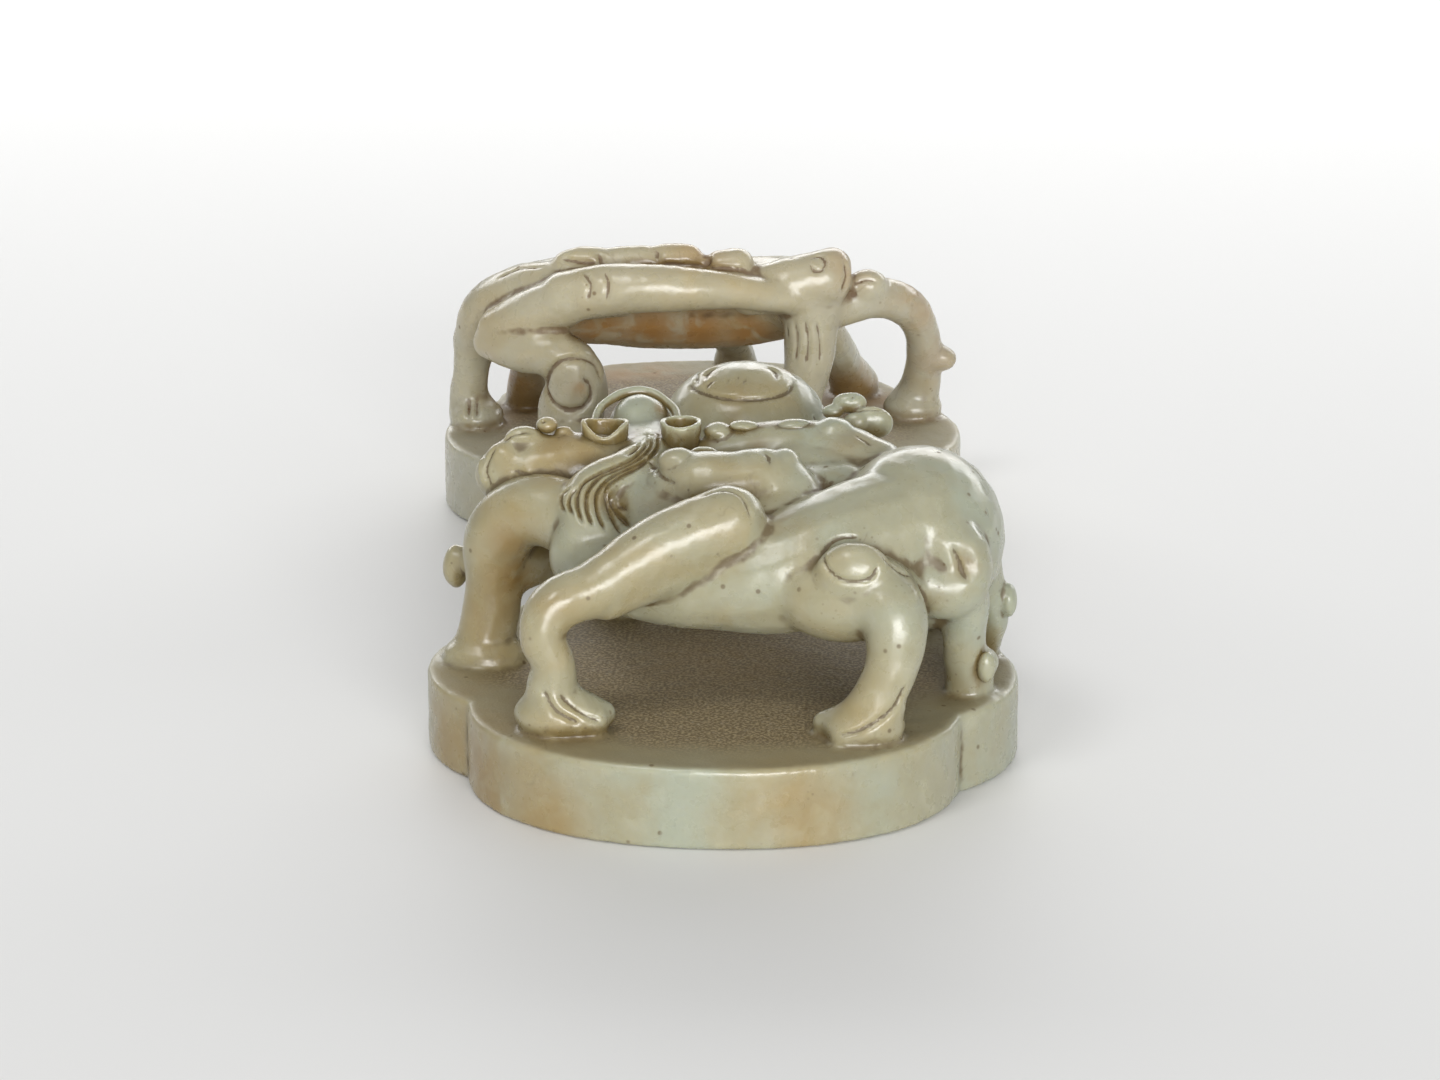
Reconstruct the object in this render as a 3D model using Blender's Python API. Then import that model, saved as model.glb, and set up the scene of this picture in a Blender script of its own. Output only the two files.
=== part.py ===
import math

import bmesh
import bpy
from mathutils import Matrix, Vector

MM = 0.001

# Plaques: both halves share one quatrefoil slab. Millimetres.
plaque_width = 50.0
plaque_length = 48.6
slab_thickness = 7.0
end_lobe_width = 41.2
end_lobe_depth = 16.4
end_lobe_squareness = 2.15
side_lobe_radius = 13.2
lobe_steps = 28
edge_bevel = 0.45
carving_height = 20.4

# Hook and loop, and how the two halves lie to each other. Millimetres, degrees.
end_gap = 19.0
loop_half_turn = 4.4
loop_half_aside = 7.1
hook_neck_width = 6.8
hook_neck_thickness = 4.6
hook_reach = 11.4
hook_throat = 9.8
hook_head_width = 14.6
hook_head_depth = 12.8
hook_head_thickness = 11.2
head_setback = 9.2
ground_clearance = 1.0
loop_bar_thickness = 4.0
loop_side_play = 0.7
loop_bar_clearance = 1.3

# Bends of the hook and of the loop, in shares of half their thickness
hook_elbow_share = 0.4
hook_elbow_rise_share = 1.3
hook_back_share = 0.6
head_sink_share = 0.25
hook_end_share = 0.66
loop_root_share = 2.0
loop_root_rise_share = 0.4
loop_edge_rise_share = 0.6
loop_arch_share = 0.5
loop_end_share = 1.5

# Surface of the carving
voxel_size = 0.55
smooth_steps = 5
smooth_factor = 0.5
carving_triangle_count = 3700
bar_sides_resolution = 2
jade_roughness = 0.35
grey_green = (0.47, 0.46, 0.35)
warm_beige = (0.49, 0.43, 0.31)

half_width = plaque_width / 2
half_length = plaque_length / 2

# Every limb is a run of (across, along, up, thickness) in hundredths of half the plaque width,
# half the plaque length, the carving height above the slab, and half the plaque width again.
HOOK_DRAGON = {
    "body": ((78, 12, 42, 16), (70, -6, 60, 22), (52, -21, 63, 24), (36, -30, 60, 22), (20, -35, 55, 20),
             (2, -37, 52, 16), (-20, -35, 49, 12), (-38, -24, 51, 12)),
    "near foreleg": ((6, -40, 79, 12), (-16, -48, 75, 11), (-37, -57, 67, 10), (-52, -64, 58, 10),
                     (-53, -67, 44, 8), (-50, -67, 29, 9), (-51, -66, 16, 11), (-44, -65, 9, 10),
                     (-38, -62, 13, 8)),
    "near hind leg": ((54, -51, 53, 14), (60, -58, 48, 12), (61, -63, 33, 10), (57, -65, 21, 9),
                      (50, -66, 10, 9), (42, -63, 6, 7)),
    "far foreleg": ((-34, -14, 55, 12), (-50, -3, 64, 13), (-66, 3, 65, 12), (-76, 6, 53, 12),
                    (-78, 7, 32, 10), (-80, 6, 15, 10), (-82, 5, 5, 10)),
    "neck": ((-10, -31, 54, 15), (-18, -14, 59, 16), (-24, 6, 67, 16), (-27, 25, 74, 14),
             (-30, 41, 75, 14)),
    "cheek": ((-36, 24, 75, 12), (-52, 23, 77, 12), (-66, 21, 76, 11), (-77, 20, 74, 9)),
    "mane": ((-25, 20, 85, 6), (-33, 5, 83, 7), (-44, -5, 77, 8), (-45, -15, 68, 8), (-35, -21, 62, 6)),
    "brow band": ((-46, 35, 89, 3), (-43, 49, 95, 3), (-32, 57, 97, 4), (-22, 50, 95, 3), (-14, 37, 90, 3)),
    "near roll": ((-13, -2, 80, 10), (2, -5, 79, 12), (16, -2, 79, 11)),
    "far roll": ((0, 27, 85, 9), (18, 29, 85, 11), (37, 26, 84, 11), (51, 18, 81, 10)),
    "ring curl": ((73, -30, 61, 7), (78, -35, 75, 6), (86, -30, 73, 6), (90, -28, 57, 6),
                  (85, -31, 45, 7), (76, -34, 49, 7)),
    "right leg": ((83, -27, 43, 8), (82, -21, 25, 6), (83, -17, 10, 6), (82, -15, 3, 9)),
    "right rear leg": ((82, 10, 42, 12), (90, 12, 25, 6), (89, 18, 12, 6), (85, 23, 2, 8)),
    "left stub": ((-78, 14, 34, 8), (-89, 25, 33, 7), (-91, 26, 31, 7)),
    "head leg": ((-32, 39, 66, 12), (-36, 51, 44, 9), (-38, 58, 20, 8), (-42, 58, 5, 10)),
    "tail": ((68, 21, 59, 18), (52, 47, 51, 14), (26, 64, 42, 11), (-2, 68, 31, 9), (-18, 64, 17, 9),
             (-11, 57, 5, 9)),
    "back": ((-8, 6, 65, 14), (16, 8, 66, 16), (40, 4, 66, 18)),
    "rear roll": ((-6, 52, 68, 9), (18, 55, 70, 10), (42, 47, 70, 11)),
    "chest": ((8, -23, 61, 14), (24, -17, 67, 15)),
    "hip leg": ((62, 37, 44, 13), (69, 52, 22, 9), (66, 59, 5, 10)),
}
LOOP_DRAGON = {
    "long limb": ((-52, -34, 77, 10), (-34, -38, 82, 10), (-12, -40, 83, 9), (10, -37, 81, 7),
                  (28, -31, 76, 6), (42, -26, 73, 6)),
    "shoulder": ((-88, 11, 39, 9), (-82, 3, 56, 12), (-69, -9, 69, 12), (-52, -19, 75, 12),
                 (-32, -19, 76, 11)),
    "left leg": ((-88, 10, 42, 9), (-90, 12, 25, 7), (-91, 13, 10, 8), (-89, 12, 3, 10)),
    "upper arm": ((-78, -19, 57, 8), (-66, -29, 67, 9), (-52, -34, 75, 10)),
    "scroll arm": ((-81, -18, 50, 7), (-70, -30, 51, 9), (-54, -36, 49, 10), (-48, -36, 37, 12),
                   (-50, -34, 22, 13), (-51, -31, 5, 12)),
    "back roll left": ((-48, -20, 87, 8), (-26, -21, 88, 8)),
    "back roll mid": ((-17, -21, 88, 8), (-5, -21, 88, 8)),
    "back roll right": ((6, -24, 86, 8), (14, -24, 87, 8)),
    "body": ((-68, -2, 64, 15), (-44, 12, 61, 18), (-16, 17, 58, 19), (12, 16, 58, 18), (34, 2, 65, 16),
             (42, -16, 70, 14)),
    "head": ((18, -24, 76, 9), (33, -23, 79, 11), (46, -22, 82, 11)),
    "near leg": ((41, -21, 66, 11), (41, -23, 47, 10), (38, -26, 26, 8), (37, -28, 11, 9),
                 (32, -32, 6, 10)),
    "right arch": ((52, -15, 66, 8), (66, -11, 69, 8), (77, -3, 63, 8), (84, 7, 49, 7), (86, 15, 31, 7),
                   (85, 21, 15, 8), (82, 22, 4, 10)),
    "right stub": ((87, 14, 31, 6), (94, 13, 31, 5)),
    "right far leg": ((38, 10, 57, 11), (49, 25, 37, 8), (56, 43, 16, 8), (60, 52, 4, 10)),
    "far leg": ((6, 31, 47, 11), (12, 53, 24, 7), (13, 67, 4, 10)),
    "left far leg": ((-65, 7, 50, 10), (-68, 25, 24, 7), (-69, 35, 4, 9)),
    "spine": ((-40, 2, 75, 11), (-12, 6, 74, 12), (20, 2, 74, 11)),
    "rear cloud": ((-34, 35, 65, 12), (0, 41, 63, 12), (30, 33, 64, 11)),
    "near scroll": ((-50, -39, 12, 10), (-42, -58, 9, 8), (-22, -72, 8, 8), (2, -77, 8, 8),
                    (22, -69, 8, 8), (25, -54, 9, 8), (14, -50, 9, 7)),
    "tail": ((-44, 21, 57, 14), (-54, 43, 43, 10), (-61, 55, 23, 8), (-54, 64, 6, 8)),
}

# Rounded masses: centre and half sizes in the same shares, half sizes all of half the plaque width.
HOOK_MASSES = {
    "haunch": ((66, -5, 61), (29, 33, 31)),
    "thigh": ((44, -44, 52), (25, 19, 16)),
    "thigh knob": ((46, -59, 65), (10, 7, 8)),
    "near fore paw": ((-49, -66, 7), (15, 12, 9)),
    "near hind paw": ((51, -65, 5), (14, 12, 8)),
    "far fore paw": ((-81, 5, 4), (15, 12, 8)),
    "crown": ((-32, 46, 84), (12, 14, 12)),
    "left ear": ((-41, 26, 86), (8, 7, 9)),
    "right ear": ((-16, 27, 87), (7, 6, 9)),
    "nose near": ((-75, 19, 83), (6, 6, 5)),
    "nose far": ((-70, 22, 87), (6, 6, 5)),
    "brow knob": ((-62, 25, 90), (4, 4, 5)),
    "jaw": ((-73, 16, 70), (8, 7, 5)),
    "bud near": ((56, 33, 86), (8, 8, 8)),
    "bud far": ((46, 44, 90), (6, 7, 8)),
    "leg scroll": ((89, -17, 13), (5, 6, 5)),
}
HOOK_HOLLOWS = {
    "left ear": ((-41, 25, 99), (6, 5, 8)),
    "right ear": ((-16, 26, 99), (5, 4, 8)),
}
LOOP_MASSES = {
    "brow": ((49, -21, 88), (8, 9, 7)),
    "horn": ((63, -15, 76), (8, 7, 7)),
    "left paw": ((-88, 9, 4), (11, 12, 7)),
    "right paw": ((82, 21, 4), (12, 11, 7)),
}


def place(across, along, up):
    """Shares of the plaque to metres, on the slab."""
    return Vector((
        across / 100 * half_width * MM,
        along / 100 * half_length * MM,
        (slab_thickness + up / 100 * carving_height) * MM,
    ))


def clear_scene():
    for found in list(bpy.data.objects):
        bpy.data.objects.remove(found, do_unlink=True)


def new_object(name, mesh):
    made = bpy.data.objects.new(name, mesh)
    bpy.context.collection.objects.link(made)
    return made


def bake(made):
    """Turn the modifiers on an object into its mesh."""
    graph = bpy.context.evaluated_depsgraph_get()
    mesh = bpy.data.meshes.new_from_object(made.evaluated_get(graph))
    made.modifiers.clear()
    made.data = mesh
    return made


def end_lobe(angle):
    """Point on the front lobe, a slightly squared half ellipse, at an angle from its middle."""
    sine, cosine = math.sin(angle), math.cos(angle)
    across = math.copysign(abs(sine) ** (2 / end_lobe_squareness), sine) * end_lobe_width / 2
    along = math.copysign(abs(cosine) ** (2 / end_lobe_squareness), cosine) * end_lobe_depth
    return Vector((across, end_lobe_depth - half_length - along))


def notch_angle():
    """Angle at which the front lobe meets the round side lobe."""
    side_middle = Vector((half_width - side_lobe_radius, 0.0))
    low, high = math.radians(60), math.radians(120)
    for _ in range(40):
        middle = (low + high) / 2
        if (end_lobe(middle) - side_middle).length > side_lobe_radius:
            low = middle
        else:
            high = middle
    return (low + high) / 2


def slab_outline():
    """Quatrefoil: two wide end lobes and two narrow side lobes that meet in four notches."""
    reach = notch_angle()
    notch = end_lobe(reach)
    sweep = math.atan2(-notch.y, notch.x - half_width + side_lobe_radius)
    front = [end_lobe(-reach + 2 * reach * step / lobe_steps) for step in range(lobe_steps)]
    right = []
    for step in range(lobe_steps // 2):
        angle = -sweep + 4 * sweep * step / lobe_steps
        right.append(Vector((
            half_width - side_lobe_radius + side_lobe_radius * math.cos(angle),
            side_lobe_radius * math.sin(angle),
        )))
    half = front + right
    return half + [-spot for spot in half]


def make_slab(name):
    mesh = bpy.data.meshes.new(name)
    shape = bmesh.new()
    rim = [shape.verts.new((point.x * MM, point.y * MM, 0.0)) for point in slab_outline()]
    base = shape.faces.new(rim)
    raised = bmesh.ops.extrude_face_region(shape, geom=[base])
    top = [item for item in raised["geom"] if isinstance(item, bmesh.types.BMVert)]
    bmesh.ops.translate(shape, vec=(0.0, 0.0, slab_thickness * MM), verts=top)
    bmesh.ops.recalc_face_normals(shape, faces=shape.faces)
    shape.to_mesh(mesh)
    shape.free()
    made = new_object(name, mesh)
    bevel = made.modifiers.new("edge", "BEVEL")
    bevel.width = edge_bevel * MM
    bevel.segments = 2
    bevel.limit_method = "ANGLE"
    bevel.angle_limit = math.radians(60)
    return bake(made)


def limb_mesh(name, runs):
    """One curve of round limbs; each run is a list of (position, radius) in metres."""
    curve = bpy.data.curves.new(name, "CURVE")
    curve.dimensions = "3D"
    curve.bevel_depth = 1.0
    curve.bevel_resolution = bar_sides_resolution
    curve.use_fill_caps = True
    curve.resolution_u = 6
    for run in runs:
        spline = curve.splines.new("BEZIER")
        spline.bezier_points.add(len(run) - 1)
        for knot, (position, radius) in zip(spline.bezier_points, run):
            knot.co = position
            knot.radius = radius
            knot.handle_left_type = "AUTO"
            knot.handle_right_type = "AUTO"
    return bake_curve(name, curve)


def bake_curve(name, curve):
    made = new_object(name, curve)
    graph = bpy.context.evaluated_depsgraph_get()
    mesh = bpy.data.meshes.new_from_object(made.evaluated_get(graph))
    bpy.data.objects.remove(made, do_unlink=True)
    return mesh


def add_ball(shape, centre, radii):
    stretch = Matrix.Translation(centre) @ Matrix.Diagonal((radii[0], radii[1], radii[2], 1.0))
    bmesh.ops.create_icosphere(shape, subdivisions=3, radius=1.0, matrix=stretch)


def keep_shells(shape, wanted):
    """Keep only the biggest connected shells."""
    shape.verts.ensure_lookup_table()
    seen = set()
    shells = []
    for start in shape.verts:
        if start in seen:
            continue
        seen.add(start)
        shell = [start]
        for vert in shell:
            for edge in vert.link_edges:
                other = edge.other_vert(vert)
                if other not in seen:
                    seen.add(other)
                    shell.append(other)
        shells.append(shell)
    shells.sort(key=len)
    for shell in shells[:-wanted]:
        bmesh.ops.delete(shape, geom=shell, context="VERTS")


def fuse(made):
    """Rebuild overlapping shells as one skin."""
    remesh = made.modifiers.new("fuse", "REMESH")
    remesh.mode = "VOXEL"
    remesh.voxel_size = voxel_size * MM
    return bake(made)


def carve(name, runs, balls, hollows):
    """Fuse limbs and masses into one smooth surface and thin it to the wanted count."""
    shape = bmesh.new()
    shape.from_mesh(limb_mesh(name + " limbs", runs))
    for run in runs:
        for position, radius in (run[0], run[-1]):
            add_ball(shape, position, (radius, radius, radius))
    for centre, radii in balls:
        add_ball(shape, centre, radii)
    mesh = bpy.data.meshes.new(name)
    shape.to_mesh(mesh)
    shape.free()
    made = fuse(new_object(name, mesh))
    if hollows:
        shape = bmesh.new()
        for centre, radii in hollows:
            add_ball(shape, centre, radii)
        mesh = bpy.data.meshes.new(name + " hollows")
        shape.to_mesh(mesh)
        shape.free()
        cutter = new_object(name + " hollows", mesh)
        cutter.hide_render = True
        cutter.display_type = "WIRE"
        cut = made.modifiers.new("hollow", "BOOLEAN")
        cut.operation = "DIFFERENCE"
        cut.solver = "EXACT"
        cut.object = cutter
        bake(made)
        bpy.data.objects.remove(cutter, do_unlink=True)
        fuse(made)
    smooth = made.modifiers.new("soften", "SMOOTH")
    smooth.factor = smooth_factor
    smooth.iterations = smooth_steps
    bake(made)
    shape = bmesh.new()
    shape.from_mesh(made.data)
    keep_shells(shape, 2)
    bmesh.ops.triangulate(shape, faces=shape.faces)
    shape.to_mesh(made.data)
    count = len(shape.faces)
    shape.free()
    thin = made.modifiers.new("thin", "DECIMATE")
    thin.ratio = min(1.0, carving_triangle_count / count)
    return bake(made)


def join_solids(made, other):
    union = made.modifiers.new("union", "BOOLEAN")
    union.operation = "UNION"
    union.solver = "EXACT"
    union.object = other
    bake(made)
    bpy.data.objects.remove(other, do_unlink=True)
    shape = bmesh.new()
    shape.from_mesh(made.data)
    keep_shells(shape, 1)
    bmesh.ops.triangulate(shape, faces=shape.faces)
    shape.to_mesh(made.data)
    shape.free()
    return made


def dragon_runs(limbs):
    runs = []
    for steps in limbs.values():
        runs.append([(place(*step[:3]), step[3] / 100 * half_width * MM) for step in steps])
    return runs


def mass_balls(masses):
    balls = []
    for centre, halves in masses.values():
        balls.append((place(*centre), [half / 100 * half_width * MM for half in halves]))
    return balls


def point(x, y, z):
    return Vector((x * MM, y * MM, z * MM))


def hook_parts():
    """Neck under the loop bar, up through the slot and back over it, with a domed head."""
    thick = hook_neck_thickness / 2
    aside = hook_neck_width / 2 - thick
    low = ground_clearance + thick
    outer = half_length + hook_reach
    top = low + hook_neck_thickness + hook_throat
    runs = []
    for side in (-aside, 0.0, aside):
        runs.append([
            (point(side, half_length - hook_neck_thickness, low), thick * MM),
            (point(side, outer - hook_neck_thickness, low), thick * MM),
            (point(side, outer - thick * hook_elbow_share, low + thick * hook_elbow_rise_share), thick * MM),
            (point(side, outer, (low + top) / 2 + thick * hook_back_share), thick * MM),
            (point(side, outer - thick, top - thick * hook_elbow_share), thick * MM),
            (point(side, outer - head_setback * hook_end_share, top + thick * hook_elbow_share), thick * MM),
        ])
    centre = point(0.0, outer - head_setback, ground_clearance + hook_neck_thickness + hook_throat
                   + hook_head_thickness / 2 - thick * head_sink_share)
    radii = [hook_head_width / 2 * MM, hook_head_depth / 2 * MM, hook_head_thickness / 2 * MM]
    return runs, [(centre, radii)]


def loop_runs():
    """Rectangular loop that reaches from the slab over the hook neck."""
    bar = loop_bar_thickness / 2
    slot_half = hook_neck_width / 2 + loop_half_offset() + loop_side_play
    side_at = slot_half + bar
    low = slab_thickness / 2
    high = ground_clearance + hook_neck_thickness + loop_bar_clearance + bar
    near = -half_length
    end = near - end_gap + hook_bar_room()
    runs = []
    for side in (-side_at, side_at):
        runs.append([
            (point(side, near + bar * loop_root_share, low + bar * loop_root_rise_share), bar * MM),
            (point(side, near - bar, low + bar * loop_edge_rise_share), bar * MM),
            (point(side, (near + end) / 2, (low + high) / 2 + bar * loop_arch_share), bar * MM),
            (point(side, end + bar * loop_end_share, high), bar * MM),
            (point(side, end, high), bar * MM),
        ])
    runs.append([(point(-side_at, end, high), bar * MM), (point(side_at, end, high), bar * MM)])
    return runs


def loop_half_offset():
    """How far the hook neck lies from the middle of the loop, measured across the loop half."""
    turn = math.radians(loop_half_turn)
    hook_back = half_length + end_gap - hook_reach
    return abs(loop_half_aside * math.cos(turn) - hook_back * math.sin(turn))


def hook_bar_room():
    """From the hook slab's end to the middle of the loop bar: the bar lies just inside the throat."""
    return hook_reach - hook_neck_thickness / 2 - loop_bar_clearance - loop_bar_thickness / 2


def paint(made, name, colour):
    material = bpy.data.materials.new(name)
    material.use_nodes = True
    shader = material.node_tree.nodes["Principled BSDF"]
    shader.inputs["Base Color"].default_value = (*colour, 1.0)
    shader.inputs["Roughness"].default_value = jade_roughness
    shader.inputs["Metallic"].default_value = 0.0
    made.data.materials.clear()
    made.data.materials.append(material)


def build():
    clear_scene()
    hook_runs, hook_balls = hook_parts()
    hook_half = make_slab("hook_plaque")
    hook_carving = carve("hook carving", dragon_runs(HOOK_DRAGON) + hook_runs,
                         mass_balls(HOOK_MASSES) + hook_balls, mass_balls(HOOK_HOLLOWS))
    join_solids(hook_half, hook_carving)
    paint(hook_half, "grey green jade", grey_green)

    loop_half = make_slab("loop_plaque")
    loop_carving = carve("loop carving", dragon_runs(LOOP_DRAGON) + loop_runs(),
                         mass_balls(LOOP_MASSES), [])
    join_solids(loop_half, loop_carving)
    paint(loop_half, "warm beige jade", warm_beige)
    centre_distance = half_length * 2 + end_gap
    away = Matrix.Translation(point(-loop_half_aside, centre_distance, 0.0))
    loop_half.data.transform(away @ Matrix.Rotation(math.radians(loop_half_turn), 4, "Z"))

    corners = [vert.co for made in (hook_half, loop_half) for vert in made.data.vertices]
    middle_x = (min(co.x for co in corners) + max(co.x for co in corners)) / 2
    middle_y = (min(co.y for co in corners) + max(co.y for co in corners)) / 2
    for made in (hook_half, loop_half):
        made.data.transform(Matrix.Translation((-middle_x, -middle_y, 0.0)))
        made.data.update()


build()
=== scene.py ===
import math

import bpy
import numpy as np
from mathutils import Matrix, Vector
from mathutils.bvhtree import BVHTree
from mathutils.kdtree import KDTree


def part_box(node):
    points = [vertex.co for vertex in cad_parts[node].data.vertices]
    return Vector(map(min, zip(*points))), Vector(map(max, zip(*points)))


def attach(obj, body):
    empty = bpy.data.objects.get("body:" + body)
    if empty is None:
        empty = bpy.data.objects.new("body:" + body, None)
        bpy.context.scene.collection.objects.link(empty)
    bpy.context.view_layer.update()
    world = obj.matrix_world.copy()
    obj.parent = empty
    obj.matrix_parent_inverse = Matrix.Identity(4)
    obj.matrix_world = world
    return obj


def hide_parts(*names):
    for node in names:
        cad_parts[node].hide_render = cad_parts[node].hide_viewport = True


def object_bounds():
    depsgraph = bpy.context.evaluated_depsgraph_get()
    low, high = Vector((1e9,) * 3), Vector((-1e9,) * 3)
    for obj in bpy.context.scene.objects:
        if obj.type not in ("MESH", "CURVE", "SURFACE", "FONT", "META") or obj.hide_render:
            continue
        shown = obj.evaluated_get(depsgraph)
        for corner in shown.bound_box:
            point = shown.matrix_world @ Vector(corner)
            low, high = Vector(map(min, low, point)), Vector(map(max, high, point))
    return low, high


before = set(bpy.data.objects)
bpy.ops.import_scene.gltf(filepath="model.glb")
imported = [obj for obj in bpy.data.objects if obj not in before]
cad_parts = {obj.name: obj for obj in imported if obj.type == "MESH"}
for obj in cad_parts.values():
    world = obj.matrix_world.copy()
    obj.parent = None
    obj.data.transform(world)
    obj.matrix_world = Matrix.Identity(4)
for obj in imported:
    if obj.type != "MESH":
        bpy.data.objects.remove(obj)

cad_low, cad_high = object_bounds()

# Viewpoint: a long lens, low above the table and a little to the right of the buckle's own axis.
# Lines ground into the carving are laid out as they are seen from here.
MM = 0.001
half_width, half_length, slab_thickness, carving_height = 25.0, 24.3, 7.0, 20.4
hook_low, hook_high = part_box("hook_plaque")
hook_middle = Vector(((hook_low[0] + hook_high[0]) / 2, hook_low[1] + half_length * MM, 0.0))
frame_wide, frame_high, sensor_wide, lens_length = 1440, 1080, 36.0, 130.0
lens_scale = lens_length / sensor_wide * frame_wide
view_turn, view_drop, view_distance = math.radians(4.4), math.radians(18.4), 0.442
middle_seen_at = (722.5, 745.0)
ahead = Vector((-math.sin(view_turn) * math.cos(view_drop), math.cos(view_turn) * math.cos(view_drop),
                -math.sin(view_drop)))
rightward = Vector((math.cos(view_turn), math.sin(view_turn), 0.0))
upward = rightward.cross(ahead)
eye = hook_middle - view_distance * (
    ahead
    + rightward * ((middle_seen_at[0] - frame_wide / 2) / lens_scale)
    - upward * ((middle_seen_at[1] - frame_high / 2) / lens_scale)
)
camera_data = bpy.data.cameras.new("camera")
camera_data.sensor_width = sensor_wide
camera_data.lens = lens_length
camera = bpy.data.objects.new("camera", camera_data)
bpy.context.collection.objects.link(camera)
camera.matrix_world = Matrix.Translation(eye) @ Matrix((rightward, upward, -ahead)).transposed().to_4x4()
bpy.context.scene.camera = camera

# Hook half: one block of nephrite, a thick lobed slab with a hornless dragon undercut over it, and a
# hook that rises from its far end and curls back to a domed head. Sawn and drilled, then every
# surface ground with wet grit and polished by hand, except the floor under the dragon's belly.
end_lobe_width, end_lobe_depth, end_lobe_squareness, side_lobe_radius = 41.2, 16.4, 2.15, 13.2
lobe_steps, edge_wear = 48, 0.45
hook_neck_width, hook_neck_thickness, hook_reach, hook_throat = 6.8, 4.6, 11.4, 9.8
hook_head_width, hook_head_depth, hook_head_thickness, head_setback = 14.6, 12.8, 11.2, 9.2
hook_elbow_share, hook_elbow_rise_share, hook_back_share = 0.4, 1.3, 0.6
hook_end_share, head_sink_share = 0.66, 0.25
ground_clearance = 1.0
rough_voxel, fine_voxel, trim_voxel = 0.3, 0.23, 0.12
melt_rounds, trim_melt_rounds, skin_rounds, trim_skin_rounds = 12, 2, 3, 4
skin_triangles = 192000

# Every limb is a run of (across, along, up, thickness) in hundredths of half the plaque width,
# half the plaque length, the carving height above the slab, and half the plaque width again.
HOOK_DRAGON = {
    "body": ((78, 12, 42, 16), (70, -6, 60, 22), (52, -21, 63, 24), (36, -30, 60, 22), (20, -35, 55, 20),
             (2, -37, 52, 16), (-20, -35, 49, 12), (-38, -24, 51, 12)),
    "near foreleg": ((5, -40, 79, 12.5), (-16, -48, 71, 11.5), (-37, -57, 57, 9.5), (-51, -64, 50, 8.8),
                     (-54, -67, 40, 7.5), (-50, -67, 28, 7.2), (-51, -66, 17, 9), (-49, -67, 8, 9)),
    "near fore toes": ((-50, -69, 10, 8), (-43, -70, 7, 7), (-37, -70, 6, 5.5)),
    "near fore heel toe": ((-47, -66, 12, 7), (-40, -65, 9, 6), (-34, -65, 7, 4.5)),
    "arm web": ((4, -39, 70, 11), (-16, -47, 63, 10.5), (-34, -55, 53, 8.5)),
    "far web": ((-76, 8, 36, 9), (-60, 24, 40, 10), (-40, 44, 42, 9)),
    "near hind leg": ((54, -51, 53, 14), (60, -58, 48, 11.5), (60.5, -63, 33, 9.2), (57, -65, 21, 8.5),
                      (51, -66, 10, 8.5), (43, -64, 5, 6.5), (38, -62, 4, 4.5)),
    "near hind toe": ((58, -67, 14, 7), (53, -71, 6, 6), (45, -72, 3, 5)),
    "far foreleg": ((-34, -14, 55, 12), (-50, -3, 64, 13), (-66, 3, 65, 12), (-76, 6, 53, 12),
                    (-78, 7, 32, 10), (-80, 6, 15, 10), (-82, 5, 5, 10)),
    "neck": ((-10, -31, 54, 15), (-18, -14, 59, 16), (-24, 6, 67, 16), (-27, 25, 74, 14),
             (-30, 41, 75, 14)),
    "cheek": ((-36, 24, 75, 12), (-52, 23, 77, 12), (-66, 21, 76, 11), (-77, 20, 74, 9)),
    "mane": ((-25, 20, 85, 6), (-33, 5, 83, 7), (-44, -5, 77, 8), (-45, -15, 68, 8), (-35, -21, 62, 6)),
    "near roll": ((-14, -4, 80, 10), (-6, -7, 82, 11.5), (4, -7, 82, 11.5), (15, -6, 82, 12.5),
                  (22, -10, 75, 13), (20, -20, 65, 12)),
    "far roll": ((-6, 26, 81, 8), (5, 27, 82.5, 10.5), (18, 28, 82.5, 12), (36, 25, 82, 13),
                 (50, 18, 79, 12)),
    "far roll side": ((26, 18, 76, 13), (42, 12, 74, 12)),
    "ring curl": ((70, -24, 66, 13), (79, -29, 66, 10), (82, -30, 58, 9.5), (79, -32, 51, 10),
                  (70, -30, 52, 12)),
    "right leg": ((83, -27, 43, 8), (82, -22, 26, 7.5), (83, -18, 10, 7.5), (84, -17, 3, 8.5)),
    "right rear leg": ((82, 10, 42, 12), (90, 12, 25, 6), (89, 18, 12, 6), (85, 23, 2, 8)),
    "left stub": ((-78, 14, 34, 8), (-86, 24, 34, 6), (-88, 26, 34, 6)),
    "bud stem": ((40, 48, 68, 8), (42, 56, 76, 5), (46, 60, 84, 4)),
    "head leg": ((-32, 39, 66, 12), (-36, 51, 44, 9), (-38, 58, 20, 8), (-42, 58, 5, 10)),
    "tail": ((68, 21, 59, 18), (52, 47, 51, 14), (26, 64, 42, 11), (-2, 68, 31, 9), (-18, 64, 17, 9),
             (-11, 57, 5, 9)),
    "back": ((-8, 6, 65, 14), (16, 8, 66, 16), (40, 4, 66, 18)),
    "rear roll": ((-6, 52, 68, 9), (18, 55, 70, 10), (42, 47, 70, 11)),
    "chest": ((8, -23, 61, 14), (24, -17, 67, 15)),
    "hip leg": ((62, 37, 44, 13), (69, 52, 22, 9), (66, 59, 5, 10)),
}
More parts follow.
